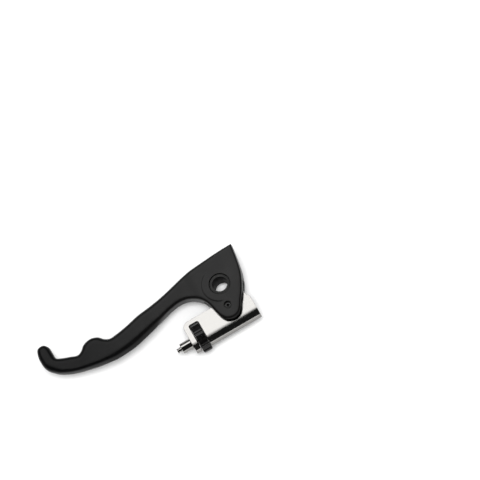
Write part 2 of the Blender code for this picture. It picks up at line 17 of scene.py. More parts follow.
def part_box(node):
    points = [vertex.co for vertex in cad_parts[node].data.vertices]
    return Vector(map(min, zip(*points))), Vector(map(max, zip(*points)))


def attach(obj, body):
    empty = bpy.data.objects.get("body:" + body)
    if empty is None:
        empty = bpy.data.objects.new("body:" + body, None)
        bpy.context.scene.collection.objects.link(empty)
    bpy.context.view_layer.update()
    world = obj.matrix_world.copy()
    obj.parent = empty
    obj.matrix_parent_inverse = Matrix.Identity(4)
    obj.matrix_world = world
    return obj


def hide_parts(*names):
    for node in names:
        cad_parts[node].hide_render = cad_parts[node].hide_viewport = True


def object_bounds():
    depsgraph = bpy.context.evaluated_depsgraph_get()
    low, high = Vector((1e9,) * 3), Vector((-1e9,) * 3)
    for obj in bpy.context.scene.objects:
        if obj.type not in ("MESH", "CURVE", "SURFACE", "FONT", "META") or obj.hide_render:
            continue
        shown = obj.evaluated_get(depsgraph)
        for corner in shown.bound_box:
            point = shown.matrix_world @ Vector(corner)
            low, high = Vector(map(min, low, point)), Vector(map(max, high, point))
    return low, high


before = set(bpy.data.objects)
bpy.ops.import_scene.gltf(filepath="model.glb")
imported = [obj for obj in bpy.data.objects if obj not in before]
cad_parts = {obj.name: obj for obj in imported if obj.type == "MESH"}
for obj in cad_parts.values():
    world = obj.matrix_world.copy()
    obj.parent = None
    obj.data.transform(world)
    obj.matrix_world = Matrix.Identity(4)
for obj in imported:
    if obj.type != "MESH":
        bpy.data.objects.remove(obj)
CAD_LOW, CAD_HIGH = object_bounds()

MM = 0.001
GAP = 0.3
OVERCUT = 2.0

# ---------------------------------------------------------------- dimensions shared with the solids

HALF_THICKNESS = [(-160.0, 4.9), (-132.0, 5.0), (-110.0, 5.7), (-62.0, 5.9), (-35.0, 5.7), (-25.0, 5.9),
                  (-14.0, 7.0), (40.0, 7.0)]
BACK_CROWN = [(-160.0, 0.0), (-134.0, 0.2), (-112.0, 1.2), (-94.0, 2.5), (-80.0, 3.0), (-66.0, 2.5),
              (-46.0, 0.0), (40.0, 0.0)]
MIDDLE_LINE = [(-134.0, 5.0), (-110.0, 4.0), (-94.0, 0.0), (-74.0, 3.0), (-46.0, 9.0)]
FINGER_SIDE = [(23.2, 24.6), (10.0, 24.35), (-4.0, 23.45), (-14.0, 22.7), (-22.0, 21.55), (-32.0, 19.2),
               (-44.0, 16.2), (-56.0, 14.1), (-68.0, 12.55), (-80.0, 9.7), (-90.0, 8.0), (-96.0, 7.7),
               (-99.6, 9.7), (-103.2, 13.5), (-108.0, 15.5), (-112.6, 15.25), (-116.6, 13.7),
               (-120.0, 10.7), (-123.8, 9.15), (-130.0, 11.4), (-136.0, 13.8), (-139.7, 16.1),
               (-140.2, 21.0), (-140.7, 27.0), (-143.9, 30.8)]
BAR_SIDE = [(-149.0, 30.2), (-151.2, 26.0), (-151.9, 20.0), (-150.8, 12.3), (-145.4, 5.6), (-138.0, 0.9),
            (-130.0, -2.3), (-120.0, -4.6), (-109.0, -6.6), (-98.0, -7.2), (-86.0, -6.3), (-74.0, -4.1),
            (-62.0, -1.4), (-52.0, 0.7), (-43.0, 3.0), (-35.0, 4.2), (-28.0, 3.1), (-22.5, 0.1),
            (-18.4, -4.0), (-15.9, -8.4), (-14.3, -13.5), (-13.2, -18.6), (-11.5, -24.0), (-8.4, -28.2),
            (-3.0, -30.0), (2.2, -28.6), (5.6, -25.0), (8.2, -20.6), (11.2, -16.2), (14.4, -10.8),
            (17.3, -4.6), (19.3, 1.0), (21.3, 11.0), (23.2, 24.6)]
HOOK_TIP = (-146.5, 31.0)
HEAD_HALF = 7.0
BORE_R, SLEEVE_R, HEAD_BORE_R = 6.0, 7.0, 7.3
RECESS_R, RECESS_DEPTH = 8.3, 2.8
LOWER_EAR_R = 18.0
SLOT_BOTTOM, SLOT_TOP, SLOT_R = -1.0, 2.5, 13.6
SLOT_SIDE_Y, MOUTH_X, MOUTH_FRONT, MOUTH_BACK = -4.0, 30.0, -8.0, -44.0
WAY_LEFT, WAY_RIGHT, WAY_Y, WAY_Z, WAY_CORNER = -16.0, 12.0, 3.2, 2.4, 1.2   # the screw's way through
SHEET, FLANGE_TOP, BEND_OUTER_R, BEND_Y = 1.5, 1.5, 6.0, -31.0
AXIS_Z = FLANGE_TOP - BEND_OUTER_R
BEND_INNER_R = BEND_OUTER_R - SHEET
BEND_EASE, EASE_R = 5.0, 30.0  # the sheet starts to turn gently, over this many degrees
FLANGE_BOTTOM = FLANGE_TOP - 2 * BEND_OUTER_R
BRACKET_LEFT, BRACKET_RIGHT, BRACKET_FRONT = -42.0, 16.0, -12.0
RIGHT_CORNER_R, RIGHT_CORNER_Y = 3.5, -20.5
BLANK_BACK, BLANK_LOW, BLANK_HIGH = -45.0, -20.0, 10.0    # cutters beyond the bent sheet
BRACKET_EDGE = 0.22
PIVOT_EAR_R, LUG_CORNER_R = 12.0, 5.0
SCREW_Y = -27.3
SHANK_R, JOURNAL_R, THREAD_R, TIP_R = 4.2, 2.9, 2.0, 1.95
SHANK_LEFT, JOURNAL_RIGHT, THREAD_RIGHT = -51.0, -22.0, 3.6
WHEEL_R, WHEEL_RIBS, WHEEL_TURN, RIB_DEPTH = 11.7, 13, -10.4, 0.9
RIB_EDGE, GROOVE_EDGE = 0.64, 0.84   # shares of half a rib's pitch, from the middle of the rib
RIB_CROWN, RIM = 0.12, 1.4     # the grooves deepen over the width of the rim
WINDOW_LEFT, WINDOW_RIGHT, WINDOW_FRONT = -37.65, -29.1, -15.6
PIN_X, PIN_Y, PIN_R, PIN_RECESS_R, PIN_RECESS_DEPTH = -2.6, -18.6, 2.2, 3.0, 1.8
HEX_R, HEX_DEPTH = 1.45, 3.5   # deeper than the solid's, so that the socket stays dark
NUT_X, NUT_R, LOBE_R, LOBE_BOTTOM = -3.0, 4.0, 5.6, -7.9
LOBE_LEFT, LOBE_RIGHT, LOBE_FRONT = -13.0, 9.0, -13.4
NUT_HOLE_TOP = SLOT_TOP - 0.7  # in the slot, below the upper cheek
SWING = 4.2                    # degrees each way
CROWN_POWER = 1.3
FIXINGS = {"outboard_bush_screw": (-40.0, -21.6), "inboard_bush_screw": (-24.6, -21.4),
           "push_block_screw": (13.4, -25.4)}
FIXING_R, FIXING_HEAD_R, FIXING_HOLE_DEPTH = 0.8, 1.6, 3.6
FIXING_HEX_R, FIXING_HEX_DEPTH = 0.62, 0.8
SLEEVE_FLANGE_R, SLEEVE_FLANGE = 9.0, 0.5

# Rounding of the lever's upper and lower edges along its two sides, eased between stations in X.
FINGER_ROUND = [(-160.0, 4.2), (-141.0, 4.0), (-60.0, 4.0), (-35.0, 3.4), (-20.0, 3.0), (-8.0, 3.0),
                (23.2, 2.0)]
BAR_ROUND = [(-160.0, 4.2), (-148.0, 3.8), (-140.0, 2.4), (-128.0, 1.9), (-12.0, 1.9), (4.0, 1.8),
             (23.2, 1.6)]
BOSS_R = 13.8                  # flat boss around the pivot, a little above the blade's upper face
BOSS_STEP = 0.22
BOSS_EDGE = 0.9
BOSS_FADE = (2.0, 9.0)         # the step fades in over this distance outboard of the pivot

# Spacing of the lever's mesh, and its distance from the roundings.
OUTLINE_STEP, GRID_STEP, GRID_SKEW = 0.8, 1.6, 0.31
GRID_CLEAR, ARC_CLEAR = 0.7, 0.3
ROUNDING_ANGLES = (16, 30, 42, 53, 64, 75, 90)


# ---------------------------------------------------------------- plane geometry


def stations(table, x):
    """Values at x, an array, eased between the listed stations."""
    x = np.asarray(x, float)
    at = np.array([p[0] for p in table])
    value = np.array([p[1] for p in table])
    i = np.clip(np.searchsorted(at, x, side="left") - 1, 0, len(at) - 2)
    share = np.clip((x - at[i]) / (at[i + 1] - at[i]), 0, 1)
    return value[i] + (value[i + 1] - value[i]) * share * share * (3 - 2 * share)


def ease(value, low, high):
    share = np.clip((value - low) / (high - low), 0, 1)
    return share * share * (3 - 2 * share)


def through(points, step):
    """Points along a centripetal Catmull-Rom curve through the given ones, about a step apart."""
    knots = [np.array(p, float) for p in points]
    knots = [2 * knots[0] - knots[1], *knots, 2 * knots[-1] - knots[-2]]
    path = []
    for a, b, c, d in zip(knots, knots[1:], knots[2:], knots[3:]):
        t1 = math.sqrt(np.linalg.norm(b - a))
        t2 = t1 + math.sqrt(np.linalg.norm(c - b))
        t3 = t2 + math.sqrt(np.linalg.norm(d - c))
        count = max(2, round(float(np.linalg.norm(c - b)) / step))
        for t in t1 + (t2 - t1) * np.arange(count) / count:
            ab = a * (t1 - t) / t1 + b * t / t1
            bc = b * (t2 - t) / (t2 - t1) + c * (t - t1) / (t2 - t1)
            cd = c * (t3 - t) / (t3 - t2) + d * (t - t2) / (t3 - t2)
            abc = ab * (t2 - t) / t2 + bc * t / t2
            bcd = bc * (t3 - t) / (t3 - t1) + cd * (t - t1) / (t3 - t1)
            path.append(abc * (t2 - t) / (t2 - t1) + bcd * (t - t1) / (t2 - t1))
    return np.array(path)


def arc(cx, cy, radius, start, end, count):
    angles = np.radians(np.linspace(start, end, count + 1))
    return [(cx + radius * math.cos(a), cy + radius * math.sin(a)) for a in angles]


def circle(cx, cy, radius, count=96):
    return arc(cx, cy, radius, 0, 360, count)[:-1]


def rounded_box(x0, y0, x1, y1, radius, count=8):
    corners = [(x1 - radius, y1 - radius, 0), (x0 + radius, y1 - radius, 90),
               (x0 + radius, y0 + radius, 180), (x1 - radius, y0 + radius, 270)]
    return [p for x, y, a in corners for p in arc(x, y, radius, a, a + 90, count)]


def nearest(points, line):
    """Distance from each point to a polyline, and the X of the nearest place on it."""
    a, b = line[:-1], line[1:]
    run = b - a
    length2 = (run ** 2).sum(1)
    best = np.full(len(points), 1e9)
    where = np.zeros(len(points))
    for start in range(0, len(points), 2000):
        p = points[start:start + 2000, None, :]
        share = np.clip(((p - a) * run).sum(2) / length2, 0, 1)
        foot = a + share[..., None] * run
        gap = np.sqrt(((p - foot) ** 2).sum(2))
        k = gap.argmin(1)
        rows = np.arange(len(k))
        best[start:start + 2000] = gap[rows, k]
        where[start:start + 2000] = foot[rows, k, 0]
    return best, where


def inside(points, outline):
    """Which points lie inside a closed outline."""
    x, y = points[:, 0:1], points[:, 1:2]
    x0, y0 = outline[:, 0], outline[:, 1]
    x1, y1 = np.roll(x0, -1), np.roll(y0, -1)
    crosses = (y0 > y) != (y1 > y)
    with np.errstate(divide="ignore", invalid="ignore"):
        at = x0 + (y - y0) * (x1 - x0) / (y1 - y0)
    return (np.where(crosses & (x < at), 1, 0).sum(1) % 2) == 1


# ---------------------------------------------------------------- meshes


def mesh_piece(name, verts, faces, smooth=35.0):
    mesh = bpy.data.meshes.new(name)
    mesh.from_pydata([tuple(float(c) * MM for c in v) for v in verts], [], [tuple(f) for f in faces])
    piece = bpy.data.objects.new(name, mesh)
    bpy.context.scene.collection.objects.link(piece)
    shape = bmesh.new()
    shape.from_mesh(mesh)
    bmesh.ops.remove_doubles(shape, verts=shape.verts, dist=2e-6)
    bmesh.ops.recalc_face_normals(shape, faces=shape.faces)
    shape.to_mesh(mesh)
    shape.free()
    shade(piece, smooth)
    return piece


def shade(piece, angle=35.0):
    piece.data.shade_smooth()
    piece.data.set_sharp_from_angle(angle=math.radians(angle))


def settle(piece):
    """Applies a piece's modifiers."""
    graph = bpy.context.evaluated_depsgraph_get()
    graph.update()
    mesh = bpy.data.meshes.new_from_object(piece.evaluated_get(graph))
    piece.modifiers.clear()
    piece.data = mesh
    return piece


def cut(piece, *others, operation="DIFFERENCE"):
    """Boolean with other pieces, which are then removed."""
    for other in others:
        modifier = piece.modifiers.new("cut", "BOOLEAN")
        modifier.operation = operation
        modifier.solver = "EXACT"
        modifier.object = other
    settle(piece)
    for other in others:
        bpy.data.objects.remove(other, do_unlink=True)
    return piece


def soften(piece, width, segments=3, angle=35.0):
    """Rounds a piece's sharp edges by a width in millimetres."""
    shape = bmesh.new()
    shape.from_mesh(piece.data)
    bmesh.ops.remove_doubles(shape, verts=shape.verts, dist=5e-6)
    bmesh.ops.dissolve_limit(shape, angle_limit=math.radians(0.6), verts=shape.verts, edges=shape.edges)
    shape.to_mesh(piece.data)
    shape.free()
    modifier = piece.modifiers.new("edges", "BEVEL")
    modifier.width = width * MM
    modifier.segments = segments
    modifier.limit_method = "ANGLE"
    modifier.angle_limit = math.radians(angle)
    modifier.miter_outer = "MITER_ARC"
    modifier.use_clamp_overlap = True
    settle(piece)
    shade(piece, 50.0)
    weighted = piece.modifiers.new("flat", "WEIGHTED_NORMAL")
    weighted.keep_sharp = True
    weighted.weight = 100
    return settle(piece)


def placed(points, along, at):
    """Turns points made around Z so that they lie around the given axis, through at."""
    out = []
    for x, y, z in points:
        if along == "X":
            x, y, z = z, x, y
        out.append((x + at[0], y + at[1], z + at[2]))
    return out


def ring_faces(rows, count, looped=False):
    """Faces between rings of count points each. The last ring joins the first, or the ends are capped."""
    faces = []
    for k in range(rows if looped else rows - 1):
        n = (k + 1) % rows
        for i in range(count):
            j = (i + 1) % count
            faces.append((k * count + i, k * count + j, n * count + j, n * count + i))
    if not looped:
        faces.append(tuple(range(count))[::-1])
        faces.append(tuple((rows - 1) * count + i for i in range(count)))
    return faces


def prism(name, outline, low, high, along="Z", edge=0.0, steps=3):
    """An outline extruded from low to high. With an edge, its rims are rounded by offset rings."""
    outline = np.array(outline, float)
    area = (outline[:, 0] * np.roll(outline[:, 1], -1) - np.roll(outline[:, 0], -1) * outline[:, 1]).sum()
    if area < 0:
        outline = outline[::-1]
    run = np.roll(outline, -1, 0) - np.roll(outline, 1, 0)
    normal = np.stack([run[:, 1], -run[:, 0]], 1) / np.linalg.norm(run, axis=1)[:, None]
    rings = [(0.0, low), (0.0, high)]
    if edge:
        turn = [math.pi / 2 * i / steps for i in range(steps + 1)]
        rings = [(edge * (1 - math.sin(t)), low + edge * (1 - math.cos(t))) for t in turn]
        rings += [(d, high + low - z) for d, z in reversed(rings)]
    verts = [(x, y, z) for inset, z in rings for x, y in outline - inset * normal]
    return mesh_piece(name, placed(verts, along, (0, 0, 0)), ring_faces(len(rings), len(outline)))


def lathe(name, profile, along="Z", at=(0.0, 0.0, 0.0), steps=96, smooth=35.0):
    """A closed turned piece. The profile holds (radius, height), and it is a loop or ends on the axis."""
    verts, faces, rings = [], [], []
    for radius, height in profile:
        if radius < 1e-6:
            rings.append([len(verts)] * steps)
            verts.append((0, 0, height))
            continue
        rings.append(list(range(len(verts), len(verts) + steps)))
        for i in range(steps):
            a = 2 * math.pi * i / steps
            verts.append((radius * math.cos(a), radius * math.sin(a), height))
    pairs = list(zip(rings, rings[1:]))
    if profile[0][0] > 1e-6:
        pairs.append((rings[-1], rings[0]))
    for low, high in pairs:
        for i in range(steps):
            j = (i + 1) % steps
            face = list(dict.fromkeys((low[i], low[j], high[j], high[i])))
            if len(face) > 2:
                faces.append(face)
    return mesh_piece(name, placed(verts, along, at), faces, smooth)


def rounded_profile(corners, radius, steps=3, closed=True):
    """A profile with its corners rounded. A corner may hold its own radius as a third number."""
    out = []
    count = len(corners)
    for i, corner in enumerate(corners):
        size = corner[2] if len(corner) > 2 else radius
        p = Vector(corner[:2])
        if not closed and i in (0, count - 1) or size <= 0:
            out.append((p.x, p.y))
            continue
        before = Vector(corners[i - 1][:2]) - p
        after = Vector(corners[(i + 1) % count][:2]) - p
        size = min(size, before.length * 0.48, after.length * 0.48)
        start, end = p + before.normalized() * size, p + after.normalized() * size
        for k in range(steps + 1):
            t = k / steps
            q = start * (1 - t) ** 2 + p * 2 * t * (1 - t) + end * t * t
            out.append((q.x, q.y))
    return out


def ring(name, inner, outer, low, high, along="Z", at=(0.0, 0.0, 0.0), edge=0.12):
    corners = [(outer, high), (outer, low), (inner, low), (inner, high)]
    return lathe(name, rounded_profile(corners, edge), along, at)


def coil(name, at, radius, wire, low, high, turns):
    """A compression spring along X around (y, z), with closed end turns."""
    per_turn, around = 40, 12
    count = int(turns * per_turn)
    end = 0.55 / turns
    verts = []
    for i in range(count + 1):
        turn = i / per_turn
        share = i / count
        rise = ease(share, end * 0.5, 1 - end * 0.5) * 0.35 + share * 0.65
        x = low + wire + (high - low - 2 * wire) * rise
        a = 2 * math.pi * turn
        for k in range(around):
            b = 2 * math.pi * k / around
            r = radius + wire * math.cos(b)
            verts.append((x + wire * math.sin(b), at[0] + r * math.cos(a), at[1] + r * math.sin(a)))
    return mesh_piece(name, verts, ring_faces(count + 1, around), 60.0)


# ---------------------------------------------------------------- lever body


def half_thickness(points):
    """Half the lever's thickness at each place: a flat boss around the pivot, then the thinner blade."""
    x = points[:, 0]
    half = stations(HALF_THICKNESS, x)
    radius = np.hypot(points[:, 0], points[:, 1])
    beyond = ease(radius, BOSS_R, BOSS_R + BOSS_EDGE) * ease(-x, *BOSS_FADE)
    near = radius < BOSS_R + BOSS_EDGE
    return np.where(near, HEAD_HALF + (half - HEAD_HALF) * beyond, half) - BOSS_STEP * beyond


def rounded_height(distance, radius, half):
    short = np.clip(radius - distance, 0, None)
    return half - radius + np.sqrt(radius ** 2 - short ** 2)


def lever_height(points, finger, bar):
    """Heights of the lever's upper face, as each side's rounding alone would leave it."""
    half = half_thickness(points)
    near_f, x_f = nearest(points, finger)
    near_b, x_b = nearest(points, bar)
    from_f = rounded_height(near_f, np.minimum(stations(FINGER_ROUND, x_f), half - 0.2), half)
    from_b = rounded_height(near_b, np.minimum(stations(BAR_ROUND, x_b), half - 0.2), half)
    return from_f, from_b


def offset_rows(side, table, outline, finger, bar, of_finger):
    """Rows of points along one side's rounding, without those that the other side's rounding cuts off."""
    run = np.gradient(side, axis=0)
    normal = np.stack([-run[:, 1], run[:, 0]], 1) / np.linalg.norm(run, axis=1)[:, None]
    radius = stations(table, side[:, 0])
    kept = []
    for angle in ROUNDING_ANGLES:
        inset = radius * (1 - math.cos(math.radians(angle)))
        row = side + normal * inset[:, None]
        good = inside(row, outline)
        gap = nearest(row, side)[0]
        good &= gap > inset * 0.97
        from_f, from_b = lever_height(row, finger, bar)
        own, other = (from_f, from_b) if of_finger else (from_b, from_f)
        good &= own < other + 0.05
        kept.append(row[good])
    return np.concatenate(kept)


def lever_blank():
    """The lever before it is slotted and bored, as one closed mesh."""
    outline = through(FINGER_SIDE + BAR_SIDE, OUTLINE_STEP)
    tip = int(np.hypot(outline[:, 0] - HOOK_TIP[0], outline[:, 1] - HOOK_TIP[1]).argmin())
    finger = outline[:tip + 1]
    bar = np.concatenate([outline[tip:], outline[:1]])
    rows = [offset_rows(finger, FINGER_ROUND, outline, finger, bar, True),
            offset_rows(bar, BAR_ROUND, outline, finger, bar, False)]

    def clear_of_rounding(points, margin):
        """Which points are clear of both roundings by a margin."""
        f, fx = nearest(points, finger)
        b, bx = nearest(points, bar)
        return (f > stations(FINGER_ROUND, fx) + margin) & (b > stations(BAR_ROUND, bx) + margin)

    gx, gy = np.meshgrid(np.arange(-152, 24, GRID_STEP), np.arange(-32, 32, GRID_STEP))
    grid = np.stack([gx.ravel() + (gy.ravel() * GRID_SKEW) % (GRID_STEP / 2), gy.ravel()], 1)
    grid = grid[inside(grid, outline)]
    from_edge = np.abs(np.hypot(grid[:, 0], grid[:, 1]) - BOSS_R - BOSS_EDGE / 2)
    rows.append(grid[clear_of_rounding(grid, GRID_CLEAR) & (from_edge > BOSS_EDGE / 2 + ARC_CLEAR)])
    for radius in BOSS_R + BOSS_EDGE * np.linspace(0, 1, 5):
        around = np.array(arc(0, 0, radius, 90, 270, 70))
        rows.append(around[clear_of_rounding(around, ARC_CLEAR) & inside(around, outline)])
    count = len(outline)
    points = np.concatenate([outline, *rows])
    edges = [(i, (i + 1) % count) for i in range(count)]
    flat, _, faces, *_ = delaunay_2d_cdt([Vector(p) for p in points], edges, [], 1, 1e-5)
    flat = np.array([tuple(p) for p in flat])
    from_f, from_b = lever_height(flat, finger, bar)
    height = np.minimum(from_f, from_b)
    total = len(flat)
    verts = [(x, y, z) for (x, y), z in zip(flat, height)] + [(x, y, -z) for (x, y), z in zip(flat, height)]
    mesh_faces = [tuple(f) for f in faces] + [tuple(i + total for i in f)[::-1] for f in faces]
    levels = 10
    start = len(verts)
    for k in range(1, levels):
        share = 1 - 2 * k / levels
        verts += [(flat[i][0], flat[i][1], height[i] * share) for i in range(count)]

    def at(level, i):
        i %= count
        if level == 0:
            return i
        return total + i if level == levels else start + (level - 1) * count + i

    for k in range(levels):
        mesh_faces += [(at(k, i), at(k, i + 1), at(k + 1, i + 1), at(k + 1, i)) for i in range(count)]
    verts = np.array(verts)
    full = half_thickness(verts[:, :2])
    level = np.clip(np.abs(verts[:, 2]) / full, 0, 1)
    back = verts[:, 1] < stations(MIDDLE_LINE, verts[:, 0])
    verts[:, 1] -= np.where(back, stations(BACK_CROWN, verts[:, 0]) * (1 - level ** CROWN_POWER), 0)
    return mesh_piece("lever", verts, mesh_faces)


def plug(radius, low, high):
    """The profile of a plain round cutter."""
    return [(0, low), (radius, low), (radius, high), (0, high)]


def bored(name, radius, low, high, rim, at=(0.0, 0.0, 0.0), flare=0.35):
    """A cutter for a round hole from low to high whose rim at the height rim is chamfered."""
    profile = [(0, low), (radius, low), (radius, rim - flare), (radius + flare, rim),
               (radius + flare + 0.001, high), (0, high)]
    if rim < (low + high) / 2:
        profile = [(0, high), (radius, high), (radius, rim + flare), (radius + flare, rim),
                   (radius + flare + 0.001, low), (0, low)]
    return lathe(name, profile, at=at)


def make_lever():
    lever = lever_blank()
    ear = prism("ear", circle(0, 0, LOWER_EAR_R, 144), -HEAD_HALF + 0.5, SLOT_BOTTOM + 0.6, edge=0.5)
    lobe_line = [*arc(NUT_X, SCREW_Y, LOBE_R, 180, 360, 40), (LOBE_RIGHT, LOBE_FRONT),
                 (LOBE_LEFT, LOBE_FRONT)]
    lobe = prism("lobe", lobe_line, LOBE_BOTTOM, SLOT_BOTTOM + 0.4)
    cut(lever, ear, operation="UNION")
    cut(lever, lobe, operation="UNION")
    slot_line = [*arc(0, 0, SLOT_R, 0, 180, 60), (-SLOT_R, SLOT_SIDE_Y), (-MOUTH_X, MOUTH_FRONT),
                 (-MOUTH_X, MOUTH_BACK), (MOUTH_X, MOUTH_BACK), (MOUTH_X, MOUTH_FRONT), (SLOT_R, SLOT_SIDE_Y)]
    deep = HEAD_HALF + OVERCUT
    floor = HEAD_HALF - RECESS_DEPTH
    screw_way = rounded_box(SCREW_Y - WAY_Y, AXIS_Z - WAY_Z, SCREW_Y + WAY_Y, AXIS_Z + WAY_Z, WAY_CORNER)
    cut(lever, prism("slot", slot_line, SLOT_BOTTOM, SLOT_TOP))
    cut(lever, prism("way", screw_way, WAY_LEFT, WAY_RIGHT, along="X"))
    cut(lever, lathe("bore", plug(HEAD_BORE_R, -deep, deep)))
    cut(lever, bored("upper_recess", RECESS_R, floor, deep, HEAD_HALF, flare=0.3))
    cut(lever, bored("lower_recess", RECESS_R, -deep, -floor, -HEAD_HALF, flare=0.3))
    pin_at = (PIN_X, PIN_Y, 0.0)
    cut(lever, lathe("pin_hole", plug(PIN_R + GAP, -deep, deep), at=pin_at))
    pin_floor = HEAD_HALF - PIN_RECESS_DEPTH
    cut(lever, bored("pin_recess", PIN_RECESS_R, pin_floor, deep, HEAD_HALF, pin_at, 0.25))
    cut(lever, lathe("nut_hole", plug(NUT_R + GAP, -deep, NUT_HOLE_TOP), at=(NUT_X, SCREW_Y, 0.0)))
    shade(lever, 32.0)
    lever.name = "lever_casting"
    return finish_piece(lever, "lever", ANODISED, "lever_body")


# ---------------------------------------------------------------- bracket


def bracket_outline():
    ear = arc(0, 0, PIVOT_EAR_R, -25, 205, 80)
    lug = arc(BRACKET_LEFT + LUG_CORNER_R, BRACKET_FRONT - LUG_CORNER_R, LUG_CORNER_R, 90, 180, 16)
    right = arc(BRACKET_RIGHT - RIGHT_CORNER_R, RIGHT_CORNER_Y, RIGHT_CORNER_R, 0, 60, 10)
    return [*ear, (-14.0, BRACKET_FRONT), *lug, (BRACKET_LEFT, BLANK_BACK), (BRACKET_RIGHT, BLANK_BACK),
            *right]


def swept_slot(pin_radius, x, y, swing):
    reach = math.hypot(x, y)
    middle = math.degrees(math.atan2(y, x))
    ends = [math.radians(middle + swing), math.radians(middle - swing)]
    cap = arc(reach * math.cos(ends[0]), reach * math.sin(ends[0]), pin_radius,
              middle + swing, middle + swing + 180, 20)[1:-1]
    other = arc(reach * math.cos(ends[1]), reach * math.sin(ends[1]), pin_radius,
                middle - swing + 180, middle - swing + 360, 20)[1:-1]
    return [*arc(0, 0, reach + pin_radius, middle - swing, middle + swing, 8), *cap,
            *arc(0, 0, reach - pin_radius, middle + swing, middle - swing, 8), *other]


def make_bracket():
    start = math.radians(BEND_EASE)
    drop = EASE_R * (1 - math.cos(start))
    radius = (BEND_OUTER_R - drop) / math.cos(start)
    eased_y = BEND_Y - radius * math.sin(start) + EASE_R * math.sin(start)
    eased = arc(eased_y, FLANGE_TOP - EASE_R, EASE_R, 90, 90 + BEND_EASE, 10)[:-1]
    outer = [(20.0, FLANGE_TOP), *eased, *arc(BEND_Y, AXIS_Z, radius, 90 + BEND_EASE, 270, 64),
             (20.0, FLANGE_BOTTOM)]
    inner = [(20.0, FLANGE_BOTTOM + SHEET), *arc(BEND_Y, AXIS_Z, BEND_INNER_R, 270, 90, 64),
             (20.0, FLANGE_TOP - SHEET)]
    bracket = prism("bracket", outer + inner, BRACKET_LEFT - OVERCUT, BRACKET_RIGHT + OVERCUT, along="X")
    cut(bracket, prism("blank", bracket_outline(), BLANK_LOW, BLANK_HIGH), operation="INTERSECT")
    window = rounded_box(WINDOW_LEFT, -50.0, WINDOW_RIGHT, WINDOW_FRONT, 1.5)
    cut(bracket, prism("window", window, BLANK_LOW, BLANK_HIGH))
    cut(bracket, lathe("hole", plug(HEAD_BORE_R, BLANK_LOW, BLANK_HIGH)))
    cut(bracket, prism("pin_slot", swept_slot(PIN_R + GAP, PIN_X, PIN_Y, SWING + 0.6), -2.0, 4.0))
    for name, (x, y) in FIXINGS.items():
        cone = FLANGE_BOTTOM + FIXING_HEAD_R - FIXING_R
        mouth = FIXING_HEAD_R + GAP + OVERCUT
        top = FLANGE_BOTTOM + FIXING_HOLE_DEPTH
        profile = [(0, top), (FIXING_R + GAP, top), (FIXING_R + GAP, cone), (mouth, FLANGE_BOTTOM - OVERCUT),
                   (0, FLANGE_BOTTOM - OVERCUT)]
        cut(bracket, lathe(name + "_hole", profile, at=(x, y, 0.0), steps=48))
    bracket.name = "bent_bracket"
    soften(bracket, BRACKET_EDGE)
    return finish_piece(bracket, "carrier", STAINLESS, "carrier_bracket")


# ---------------------------------------------------------------- adjuster


def make_wheel():
    low, high = (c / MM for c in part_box("adjuster_wheel"))
    left, right = low.x, high.x
    side = [(JOURNAL_R + GAP, 0.5), (JOURNAL_R + GAP + 0.5, 0.0), (6.6, 0.0), (6.9, 0.35), (9.0, 0.35),
            (9.3, 0.0), (WHEEL_R - 1.1, 0.0), (WHEEL_R - 0.6, 0.08), (WHEEL_R - 0.2, 0.3),
            (WHEEL_R - 0.05, 0.5), (WHEEL_R, 0.8)]
    profile = [(r, left + x) for r, x in side] + [(r, right - x) for r, x in reversed(side)]
    per_rib = 28
    steps = WHEEL_RIBS * per_rib
    first = math.radians(WHEEL_TURN) + math.pi / WHEEL_RIBS
    verts = []
    for radius, x in profile:
        at_rim = float(ease(radius, WHEEL_R - RIM, WHEEL_R))
        for i in range(steps):
            a = first + 2 * math.pi * i / steps
            phase = abs(((i / per_rib) % 1.0) - 0.5) * 2
            groove = RIB_DEPTH * float(ease(phase, RIB_EDGE, GROOVE_EDGE)) * at_rim
            crown = RIB_CROWN * min(1.0, phase / RIB_EDGE) ** 4
            r = radius - groove - (crown if radius > WHEEL_R - 0.4 else 0.0)
            verts.append((x, SCREW_Y + r * math.cos(a), AXIS_Z + r * math.sin(a)))
    wheel = mesh_piece("ribbed_wheel", verts, ring_faces(len(profile), steps, looped=True), 40.0)
    middle = (left + right) / 2
    cut(wheel, lathe("grub_hole", plug(1.8, AXIS_Z - 15, AXIS_Z - 1), at=(middle, SCREW_Y, 0.0), steps=48))
    shade(wheel, 40.0)
    return finish_piece(wheel, "adjuster", WHEEL_BLACK, "adjuster_wheel")


